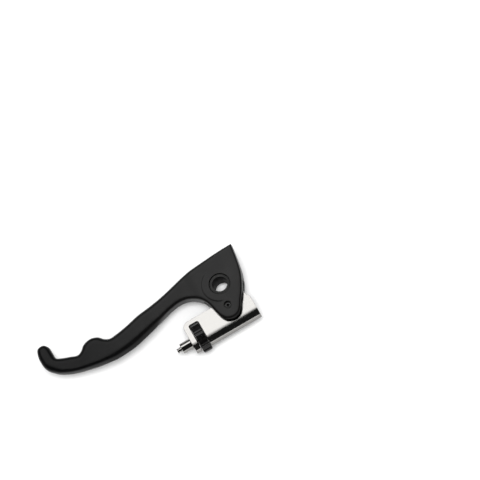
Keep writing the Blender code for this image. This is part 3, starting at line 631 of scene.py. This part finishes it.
def make_screw():
    low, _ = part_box("adjuster_screw")
    tip_left = low.x / MM
    shank_right = BRACKET_LEFT - 0.1
    corners = [(0.0, tip_left), (TIP_R, tip_left, 0.35), (TIP_R, tip_left + 1.2, 0.08),
               (TIP_R - 0.45, tip_left + 1.3, 0.05), (TIP_R - 0.45, tip_left + 1.8, 0.05),
               (TIP_R, tip_left + 1.9, 0.08), (TIP_R, SHANK_LEFT, 0.1), (SHANK_R, SHANK_LEFT, 0.45),
               (SHANK_R, shank_right, 0.2), (JOURNAL_R, shank_right, 0.05), (JOURNAL_R, JOURNAL_RIGHT, 0.25),
               (THREAD_R - 0.3, JOURNAL_RIGHT, 0.05), (THREAD_R - 0.3, JOURNAL_RIGHT + 1.2, 0.0),
               (0.0, JOURNAL_RIGHT + 1.2)]
    body = lathe("screw_body", rounded_profile(corners, 0.1, closed=False), "X", (0, SCREW_Y, AXIS_Z), 128)
    pitch, thread_depth, around, per_pitch = 1.0, 0.5, 48, 12
    start, end = JOURNAL_RIGHT + 1.0, THREAD_RIGHT
    rows = int((end - start) / pitch * per_pitch)
    verts = []
    for k in range(rows + 1):
        x = start + (end - start) * k / rows
        for i in range(around):
            a = 2 * math.pi * i / around
            phase = ((x - start) / pitch - i / around) % 1.0
            depth = thread_depth * float(ease(abs(phase - 0.5) * 2, 0.18, 0.86))
            fade = 1 - float(ease(x, end - 0.9, end))
            r = (THREAD_R - depth) * (1 - 0.3 * (1 - fade))
            verts.append((x, SCREW_Y + r * math.cos(a), AXIS_Z + r * math.sin(a)))
    thread = mesh_piece("screw_thread", verts, ring_faces(rows + 1, around), 50.0)
    finish_piece(body, "adjuster", SHANK_STEEL, "adjuster_screw")
    finish_piece(thread, "adjuster", THREAD_STEEL)


def make_stop_pin():
    low, high = (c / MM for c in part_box("stop_pin"))
    corners = [(0.0, low.z), (PIN_R, low.z, 0.3), (PIN_R, high.z, 0.3), (0.0, high.z)]
    pin = lathe("hex_pin", rounded_profile(corners, 0.3, closed=False), at=(PIN_X, PIN_Y, 0.0), steps=72)
    socket = prism("socket", circle(PIN_X, PIN_Y, HEX_R, 6), high.z - HEX_DEPTH, high.z + OVERCUT)
    cut(pin, socket)
    shade(pin, 30.0)
    return finish_piece(pin, "lever", PIN_OXIDE, "stop_pin")


def make_pivot_pieces():
    low, high = (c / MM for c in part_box("pivot_sleeve"))
    flange_top = low.z + SLEEVE_FLANGE
    corners = [(SLEEVE_R, high.z, 0.3), (SLEEVE_R, flange_top, 0.05), (SLEEVE_FLANGE_R, flange_top, 0.12),
               (SLEEVE_FLANGE_R, low.z, 0.12), (BORE_R, low.z, 0.35), (BORE_R, high.z, 0.35)]
    sleeve = lathe("turned_sleeve", rounded_profile(corners, 0.1))
    finish_piece(sleeve, "lever", SLEEVE_BLACK, "pivot_sleeve")
    for side, node, inner in ((1, "upper_pivot_seal", BORE_R), (-1, "lower_pivot_seal", HEAD_BORE_R)):
        low, high = (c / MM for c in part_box(node))
        near, far = (low.z, high.z) if side > 0 else (high.z, low.z)
        outer = high.x
        step = (far - near) / 6
        corners = [(outer, near), (inner, near), (inner, far - 1.5 * step), (inner + 0.35, far),
                   (inner + 0.75, far), (inner + 0.95, far - 1.6 * step), (outer - 0.75, far - 1.6 * step),
                   (outer - 0.55, far), (outer, far - step)]
        seal = lathe(node.replace("pivot_seal", "lip_seal"), rounded_profile(corners, 0.12, 2))
        finish_piece(seal, "lever", RUBBER, node)
    for node, body, slot, material, along in (
            ("upper_slot_washer", "lever", "black_acetal", ACETAL, "Z"),
            ("lower_slot_washer", "lever", "black_acetal", ACETAL, "Z"),
            ("lower_thrust_washer", "lever", "black_acetal", ACETAL, "Z"),
            ("outboard_thrust_washer", "adjuster", "dark_steel", OXIDE, "X"),
            ("inboard_thrust_washer", "adjuster", "dark_steel", OXIDE, "X")):
        low, high = (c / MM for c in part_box(node))
        name = node.replace("washer", "ring")
        if along == "Z":
            piece = ring(name, HEAD_BORE_R, high.x, low.z, high.z)
        else:
            outer = (high.z - low.z) / 2
            piece = ring(name, JOURNAL_R + GAP, outer, low.x, high.x, "X", (0, SCREW_Y, AXIS_Z))
        finish_piece(piece, body, material, node)


def make_springs():
    for node, radius, wire, turns in (("detent_spring", 0.95, 0.2, 5), ("backlash_spring", 2.95, 0.4, 5)):
        low, high = (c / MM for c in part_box(node))
        centre = ((low.y + high.y) / 2, (low.z + high.z) / 2)
        spring = coil(node.replace("spring", "coil"), centre, radius, wire, low.x, high.x, turns)
        finish_piece(spring, "carrier", SPRING, node)
    low, high = (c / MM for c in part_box("detent_ball"))
    centre, radius = (low + high) / 2, (high.x - low.x) / 2
    profile = [(radius * math.sin(math.pi * i / 24), -radius * math.cos(math.pi * i / 24)) for i in range(25)]
    profile[0], profile[-1] = (0.0, -radius), (0.0, radius)
    ball = lathe("click_ball", profile, "X", tuple(centre), 48, 60.0)
    finish_piece(ball, "carrier", SPRING, "detent_ball")


def make_nut():
    low, high = (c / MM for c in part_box("trunnion_nut"))
    corners = [(0.0, low.z), (NUT_R, low.z, 0.4), (NUT_R, high.z, 0.4), (0.0, high.z)]
    nut = lathe("swivel_nut", rounded_profile(corners, 0.4, closed=False), at=(NUT_X, SCREW_Y, 0.0))
    cut(nut, lathe("nut_thread", plug(THREAD_R + GAP, -12, 6), "X", (0, SCREW_Y, AXIS_Z), 64))
    shade(nut, 35.0)
    finish_piece(nut, "trunnion", BRASS, "trunnion_nut")


def make_fixings():
    for name, (x, y) in FIXINGS.items():
        low, high = (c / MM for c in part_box(name))
        head = low.z + FIXING_HEAD_R - FIXING_R
        corners = [(0.0, high.z), (FIXING_R, high.z, 0.15), (FIXING_R, head, 0.05),
                   (FIXING_HEAD_R, low.z + 0.05, 0.04), (FIXING_HEAD_R - 0.05, low.z, 0.04), (0.0, low.z)]
        piece = lathe(name.replace("screw", "bolt"), rounded_profile(corners, 0.05, closed=False),
                      at=(x, y, 0.0), steps=64)
        cut(piece, prism("drive", circle(x, y, FIXING_HEX_R, 6), low.z - 1.0, low.z + FIXING_HEX_DEPTH))
        shade(piece, 35.0)
        finish_piece(piece, "carrier", OXIDE, name)


def dress_nodes():
    """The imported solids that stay, with their edges left as they are and a finish of their own."""
    for node, material, slot in (("sleeve_circlip", OXIDE, "dark_steel"),
                                 ("outboard_screw_bush", ACETAL, "black_acetal"),
                                 ("inboard_screw_bush", ACETAL, "black_acetal"),
                                 ("push_block", OXIDE, "dark_steel"),
                                 ("wheel_grub_screw", OXIDE, "dark_steel")):
        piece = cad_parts[node]
        piece.data.materials.clear()
        piece.data.materials.append(material)


# ---------------------------------------------------------------- finishes


def finish_piece(piece, body, material, node=None):
    piece.data.materials.clear()
    piece.data.materials.append(material)
    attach(piece, body)
    if node:
        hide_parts(node)
    return piece


class Tree:
    """Short calls for building a node tree."""

    def __init__(self, owner):
        owner.use_nodes = True
        self.tree = owner.node_tree

    def add(self, kind, **settings):
        node = self.tree.nodes.new(kind)
        for key, value in settings.items():
            setattr(node, key, value)
        return node

    def link(self, source, target):
        self.tree.links.new(source, target)

    def calc(self, operation, *values):
        """A sum, product or the like of sockets and numbers."""
        node = self.add("ShaderNodeMath", operation=operation)
        for value, target in zip(values, node.inputs):
            if isinstance(value, float):
                target.default_value = value
            else:
                self.link(value, target)
        return node.outputs[0]

    def split(self, vector):
        node = self.add("ShaderNodeSeparateXYZ")
        self.link(vector, node.inputs["Vector"])
        return node.outputs

    def spread(self, source, low, high, to_low, to_high):
        node = self.add("ShaderNodeMapRange")
        for name, value in (("From Min", low), ("From Max", high), ("To Min", to_low), ("To Max", to_high)):
            node.inputs[name].default_value = value
        self.link(source, node.inputs["Value"])
        return node.outputs["Result"]

    def mixed(self, share, first, second):
        """A colour between two others, each given as a colour or as a socket."""
        node = self.add("ShaderNodeMix", data_type="RGBA")
        for name, colour in (("A", first), ("B", second)):
            if isinstance(colour, tuple):
                node.inputs[name].default_value = (*colour, 1)
            else:
                self.link(colour, node.inputs[name])
        self.link(share, node.inputs["Factor"])
        return node.outputs["Result"]


class Nodes(Tree):
    """The node tree of a material, with noise, bumps and the Principled shader's inputs."""

    def __init__(self, name, material=None):
        self.material = material or bpy.data.materials.new(name)
        super().__init__(self.material)
        self.shader = self.tree.nodes["Principled BSDF"]
        self.place = self.add("ShaderNodeTexCoord").outputs["Object"]

    def noise(self, scale, detail=4.0, rough=0.55, stretch=(1, 1, 1)):
        """Noise with a scale in features per metre."""
        mapping = self.add("ShaderNodeMapping")
        mapping.inputs["Scale"].default_value = stretch
        self.link(self.place, mapping.inputs["Vector"])
        node = self.add("ShaderNodeTexNoise")
        node.inputs["Scale"].default_value = scale
        node.inputs["Detail"].default_value = detail
        node.inputs["Roughness"].default_value = rough
        self.link(mapping.outputs["Vector"], node.inputs["Vector"])
        return node.outputs["Fac"]

    def worn(self, low, high):
        """From 0 on flat faces to 1 on outer edges, a mask for painted highlights along edges."""
        return self.spread(self.add("ShaderNodeNewGeometry").outputs["Pointiness"], low, high, 0.0, 1.0)

    def bump(self, height, distance, strength=1.0, normal=None):
        node = self.add("ShaderNodeBump")
        node.inputs["Strength"].default_value = strength
        node.inputs["Distance"].default_value = distance * MM
        self.link(height, node.inputs["Height"])
        if normal:
            self.link(normal, node.inputs["Normal"])
        return node.outputs["Normal"]

    def done(self, colour, rough, normal=None, **constants):
        self.link(colour, self.shader.inputs["Base Color"])
        self.link(rough, self.shader.inputs["Roughness"])
        if normal:
            self.link(normal, self.shader.inputs["Normal"])
        for key, value in constants.items():
            self.shader.inputs[key.replace("_", " ")].default_value = value
        return self.material


def anodised():
    """Bead-blasted aluminium, anodised black: fine grain and speckle, and a painted pool of light on the
    head, which leaves the blade darker and duller than the head.
    """
    n = Nodes("black_anodised")
    grain = n.noise(5200.0, 3.0)
    cloud = n.noise(60.0, 3.0)
    speck = n.noise(1500.0, 2.0, 0.7)
    # painted light: colour and shine rise from the blade toward the head, as if a lamp lit the head more
    head_light_pool = n.spread(n.split(n.place)["X"], -0.125, 0.005, 0.0, 1.0)
    tone = n.mixed(head_light_pool, (0.0018, 0.0018, 0.0020), (0.0040, 0.0038, 0.0036))
    n.link(n.spread(head_light_pool, 0.0, 1.0, 0.28, 0.52), n.shader.inputs["Specular IOR Level"])
    colour = n.mixed(n.spread(speck, 0.60, 0.78, 0.0, 0.6), tone, (0.022, 0.022, 0.022))
    rough = n.spread(n.calc("ADD", grain, cloud), 0.7, 1.3, 0.27, 0.36)
    normal = n.bump(grain, 0.02, 0.35)
    return n.done(colour, rough, n.bump(speck, 0.02, 0.3, normal), Metallic=0.0)


def stainless(name, low, high, brushed, shift):
    """Polished steel with fine drawn lines, faint smears and small scratches."""
    n = Nodes(name)
    lines = n.noise(900.0, 3.0, 0.6, stretch=brushed)
    smear = n.noise(55.0, 2.0)
    fine = n.noise(3500.0, 2.0)
    colour = n.mixed(n.spread(smear, 0.35, 0.65, 0.0, 1.0), (0.74, 0.725, 0.70),
                     (0.70 + shift, 0.685 + shift, 0.66 + shift))
    rough = n.spread(n.calc("ADD", lines, smear), 0.75, 1.25, low, high)
    normal = n.bump(lines, 0.01, 0.10)
    return n.done(colour, rough, n.bump(fine, 0.004, 0.10, normal), Metallic=1.0)


def oxide(name, tone):
    """Black oxide on turned steel."""
    n = Nodes(name)
    turned = n.noise(2600.0, 3.0)
    cloud = n.noise(180.0, 3.0)
    colour = n.mixed(n.spread(cloud, 0.35, 0.7, 0.0, 1.0), (tone,) * 3, (tone * 1.8,) * 3)
    rough = n.spread(n.calc("ADD", turned, cloud), 0.7, 1.3, 0.30, 0.48)
    return n.done(colour, rough, n.bump(turned, 0.01, 0.25), Metallic=0.85)


def sleeve_black():
    """The sleeve's phosphate finish, darker and duller than the other steel."""
    n = Nodes("sleeve_phosphate")
    turned = n.noise(2200.0, 3.0, 0.6, stretch=(1, 1, 3))
    cloud = n.noise(200.0, 3.0)
    colour = n.mixed(n.spread(cloud, 0.35, 0.7, 0.0, 1.0), (0.002, 0.002, 0.002), (0.004, 0.004, 0.004))
    rough = n.spread(n.calc("ADD", turned, cloud), 0.7, 1.3, 0.42, 0.56)
    return n.done(colour, rough, n.bump(turned, 0.01, 0.25), Metallic=0.0, Specular_IOR_Level=0.08)


def wheel_black():
    """Black coating on the ribbed wheel, a little glossy, with a painted highlight: paler colour and more
    shine along the rib edges.
    """
    n = Nodes("wheel_coating")
    grain = n.noise(3000.0, 3.0)
    cloud = n.noise(240.0, 3.0)
    # painted highlight: paler colour along the rib edges, for the bright lines on the ribs
    rib_highlight = n.worn(0.52, 0.62)
    n.link(n.spread(n.worn(0.42, 0.50), 0.0, 1.0, 0.10, 0.75), n.shader.inputs["Specular IOR Level"])
    colour = n.mixed(rib_highlight, (0.0022, 0.0022, 0.0022), (0.018, 0.017, 0.016))
    rough = n.spread(n.calc("ADD", grain, cloud), 0.7, 1.3, 0.15, 0.25)
    return n.done(colour, rough, n.bump(grain, 0.01, 0.2), Metallic=0.0)


def rubber():
    n = Nodes("seal_rubber")
    grain = n.noise(2400.0, 4.0)
    cloud = n.noise(200.0, 2.0)
    colour = n.mixed(n.spread(cloud, 0.3, 0.7, 0.0, 1.0), (0.016, 0.016, 0.016), (0.028, 0.028, 0.027))
    rough = n.spread(grain, 0.3, 0.7, 0.50, 0.68)
    return n.done(colour, rough, n.bump(grain, 0.02, 0.3), Metallic=0.0)


def acetal():
    n = Nodes("turned_acetal")
    lines = n.noise(1800.0, 3.0, 0.6, stretch=(3, 1, 1))
    cloud = n.noise(150.0, 2.0)
    colour = n.mixed(n.spread(cloud, 0.3, 0.7, 0.0, 1.0), (0.014, 0.014, 0.014), (0.024, 0.024, 0.024))
    rough = n.spread(lines, 0.3, 0.7, 0.40, 0.56)
    return n.done(colour, rough, n.bump(lines, 0.02, 0.3), Metallic=0.0)


def brass():
    n = Nodes("turned_brass")
    lines = n.noise(1500.0, 3.0, 0.6, stretch=(1, 1, 4))
    cloud = n.noise(160.0, 3.0)
    colour = n.mixed(n.spread(cloud, 0.35, 0.65, 0.0, 1.0), (0.62, 0.44, 0.19), (0.50, 0.34, 0.13))
    rough = n.spread(n.calc("ADD", lines, cloud), 0.7, 1.3, 0.22, 0.40)
    return n.done(colour, rough, n.bump(lines, 0.012, 0.3), Metallic=1.0)


def spring_steel():
    n = Nodes("spring_wire")
    lines = n.noise(2200.0, 3.0)
    cloud = n.noise(250.0, 2.0)
    colour = n.mixed(n.spread(cloud, 0.35, 0.65, 0.0, 1.0), (0.52, 0.51, 0.50), (0.40, 0.39, 0.38))
    rough = n.spread(n.calc("ADD", lines, cloud), 0.7, 1.3, 0.20, 0.36)
    return n.done(colour, rough, n.bump(lines, 0.008, 0.25), Metallic=1.0)


def paint_inside_shade(material):
    """The bent sheet's inner faces get painted shade: a near-black colour, and a duller finish than the
    polished outside.
    """
    n = Nodes(material.name, material)
    # mottling of the painted shade on the inner faces
    rolled = n.noise(500.0, 3.0, 0.6, stretch=(0.1, 1, 1))
    _, y, z = n.split(n.place)
    apart = n.calc("ABSOLUTE", n.calc("SUBTRACT", z, AXIS_Z * MM))
    within = n.spread(apart, (BEND_INNER_R + 0.05) * MM, (BEND_INNER_R + 0.2) * MM, 1.0, 0.0)
    inner = n.calc("MULTIPLY", within, n.spread(y, (BEND_Y - 0.2) * MM, BEND_Y * MM, 0.0, 1.0))
    polished, smooth = (n.shader.inputs[name].links[0].from_socket for name in ("Base Color", "Roughness"))
    # painted shade: near-black colour on the inner faces
    colour = n.mixed(inner, polished, n.mixed(rolled, (0.035, 0.034, 0.033), (0.055, 0.053, 0.051)))
    return n.done(colour, n.calc("ADD", smooth, n.spread(inner, 0.0, 1.0, 0.0, 0.3)))


ANODISED = anodised()
STAINLESS = paint_inside_shade(stainless("polished_sheet", 0.13, 0.20, (0.05, 1, 1), 0.06))
SHANK_STEEL = stainless("polished_shank", 0.06, 0.14, (1, 0.4, 0.4), 0.06)
THREAD_STEEL = stainless("rolled_thread", 0.18, 0.30, (1, 1, 1), -0.12)
OXIDE = oxide("black_oxide", 0.03)
PIN_OXIDE = oxide("worn_oxide", 0.06)
SLEEVE_BLACK = sleeve_black()
WHEEL_BLACK = wheel_black()
RUBBER = rubber()
ACETAL = acetal()
BRASS = brass()
SPRING = spring_steel()


# ---------------------------------------------------------------- table, light and camera

TILT = math.radians(20.6)      # of the camera from straight above, toward the handlebar side
ROLL = math.radians(30.0)
FRAME_WIDTH = 0.3744           # metres across the picture at the lever
DISTANCE = 6.0
AIM_RIGHT, AIM_UP = 0.01607, 0.03393   # from the top of the pivot to the middle of the picture


def make_camera():
    across = Vector((1, 0, 0))
    away = Vector((0, math.cos(TILT), math.sin(TILT)))
    back = Vector((0, -math.sin(TILT), math.cos(TILT)))
    right = across * math.cos(ROLL) - away * math.sin(ROLL)
    up = across * math.sin(ROLL) + away * math.cos(ROLL)
    aim = Vector((0, 0, HEAD_HALF * MM)) + right * AIM_RIGHT + up * AIM_UP
    data = bpy.data.cameras.new("camera")
    data.sensor_width = 36.0
    data.lens = data.sensor_width * DISTANCE / FRAME_WIDTH
    data.clip_start, data.clip_end = 0.05, 20.0
    camera = bpy.data.objects.new("camera", data)
    bpy.context.scene.collection.objects.link(camera)
    basis = Matrix((right, up, back)).transposed().to_4x4()
    camera.matrix_world = Matrix.Translation(aim + back * DISTANCE) @ basis
    bpy.context.scene.camera = camera


def make_table():
    size = 3.0
    z = CAD_LOW.z - TABLE_GAP
    mesh = bpy.data.meshes.new("table")
    mesh.from_pydata([(-size, -size, z), (size, -size, z), (size, size, z), (-size, size, z)], [],
                     [(0, 1, 2, 3)])
    table = bpy.data.objects.new("table", mesh)
    bpy.context.scene.collection.objects.link(table)
    n = Nodes("white_table")
    cloud = n.noise(8.0, 3.0)
    colour = n.mixed(cloud, (0.86, 0.86, 0.86), (0.88, 0.88, 0.88))
    reach = n.add("ShaderNodeVectorMath", operation="DISTANCE")
    n.link(n.place, reach.inputs[0])
    reach.inputs[1].default_value = tuple(c * MM for c in SHADE_PATCH_AT)
    # painted shade seen only in reflections: the table is darker there, darkest in a patch below the bracket
    reflected_shade = n.mixed(n.spread(reach.outputs["Value"], SHADE_PATCH_NEAR * MM, SHADE_PATCH_FAR * MM, 0.0, 1.0),
                   (SHADE_PATCH_TONE,) * 3, (TABLE_SHADE_IN_REFLECTIONS,) * 3)
    shown = n.mixed(n.add("ShaderNodeLightPath").outputs["Is Glossy Ray"], colour, reflected_shade)
    rough = n.spread(cloud, 0.3, 0.7, 0.75, 0.85)
    mesh.materials.append(n.done(shown, rough, Specular_IOR_Level=0.2))


# What shiny pieces reflect, by angle from straight above, positive toward the finger side.
SKY_STOPS = [(-180, 0.80), (-92, 0.80), (-86, 0.01), (11, 0.01), (17, 1.25), (37, 1.25), (47, 0.10),
             (86, 0.10), (96, 0.5), (180, 0.5)]
SKY_TOP = 1.25
SKY_SIDES = (0.26, 0.52)       # where the softbox ends inboard and outboard, as a share of the direction
SKY_SIDE_TONE = 0.06
SKY_FILL = 0.74                # even light on matt surfaces
LAMP = 2.5                     # the soft lamp overhead, in watts per square metre
LAMP_WIDTH = math.radians(30.0)
LAMP_FROM = (0.0, -0.2, 1.0)
TABLE_GAP = 0.00005            # metres between the table and the lowest piece
TABLE_SHADE_IN_REFLECTIONS = 0.55          # painted shade: the table's tone in reflections only, darker still in a patch below the bracket
SHADE_PATCH_TONE = 0.28
SHADE_PATCH_AT = (-12.0, -75.0, -16.0)
SHADE_PATCH_NEAR, SHADE_PATCH_FAR = 45.0, 75.0


def make_sky():
    """A studio by direction: a softbox beyond the lever, a dark ceiling on the near side, white low down."""
    world = bpy.data.worlds.new("studio")
    bpy.context.scene.world = world
    sky = Tree(world)
    mirrored = sky.tree.nodes["Background"]
    x, y, z = sky.split(sky.add("ShaderNodeTexCoord").outputs["Generated"])
    ramp = sky.add("ShaderNodeValToRGB")
    sky.link(sky.spread(sky.calc("ARCTAN2", y, z), -math.pi, math.pi, 0.0, 1.0), ramp.inputs["Fac"])
    elements = ramp.color_ramp.elements
    elements.remove(elements[0])
    for i, (degrees, value) in enumerate(SKY_STOPS):
        where = (degrees + 180.0) / 360.0
        element = elements[0] if i == 0 else elements.new(where)
        element.position = where
        element.color = (*(value / SKY_TOP,) * 3, 1)
    sky.link(ramp.outputs["Color"], mirrored.inputs["Color"])
    width = sky.spread(sky.calc("ABSOLUTE", x), *SKY_SIDES, SKY_TOP, SKY_TOP * SKY_SIDE_TONE)
    sky.link(width, mirrored.inputs["Strength"])
    even, seen = (sky.add("ShaderNodeBackground") for _ in range(2))
    even.inputs["Color"].default_value = seen.inputs["Color"].default_value = (1, 1, 1, 1)
    even.inputs["Strength"].default_value = SKY_FILL
    path = sky.add("ShaderNodeLightPath")
    shown = mirrored.outputs[0]
    for ray, backdrop in (("Is Diffuse Ray", even), ("Is Camera Ray", seen)):
        mix = sky.add("ShaderNodeMixShader")
        sky.link(path.outputs[ray], mix.inputs["Fac"])
        sky.link(shown, mix.inputs[1])
        sky.link(backdrop.outputs[0], mix.inputs[2])
        shown = mix.outputs[0]
    sky.link(shown, sky.tree.nodes["World Output"].inputs["Surface"])


def make_lamp():
    """A broad lamp almost straight above, for the shadows on the table. Shiny pieces don't mirror it."""
    data = bpy.data.lights.new("lamp", "SUN")
    data.energy = LAMP
    data.angle = LAMP_WIDTH
    lamp = bpy.data.objects.new("lamp", data)
    bpy.context.scene.collection.objects.link(lamp)
    lamp.rotation_euler = Vector(LAMP_FROM).to_track_quat("Z", "Y").to_euler()
    lamp.visible_glossy = False


make_lever()
make_bracket()
make_wheel()
make_screw()
make_stop_pin()
make_pivot_pieces()
make_springs()
make_nut()
make_fixings()
dress_nodes()
make_table()
make_sky()
make_lamp()
make_camera()
bpy.context.scene.view_settings.view_transform = "Standard"
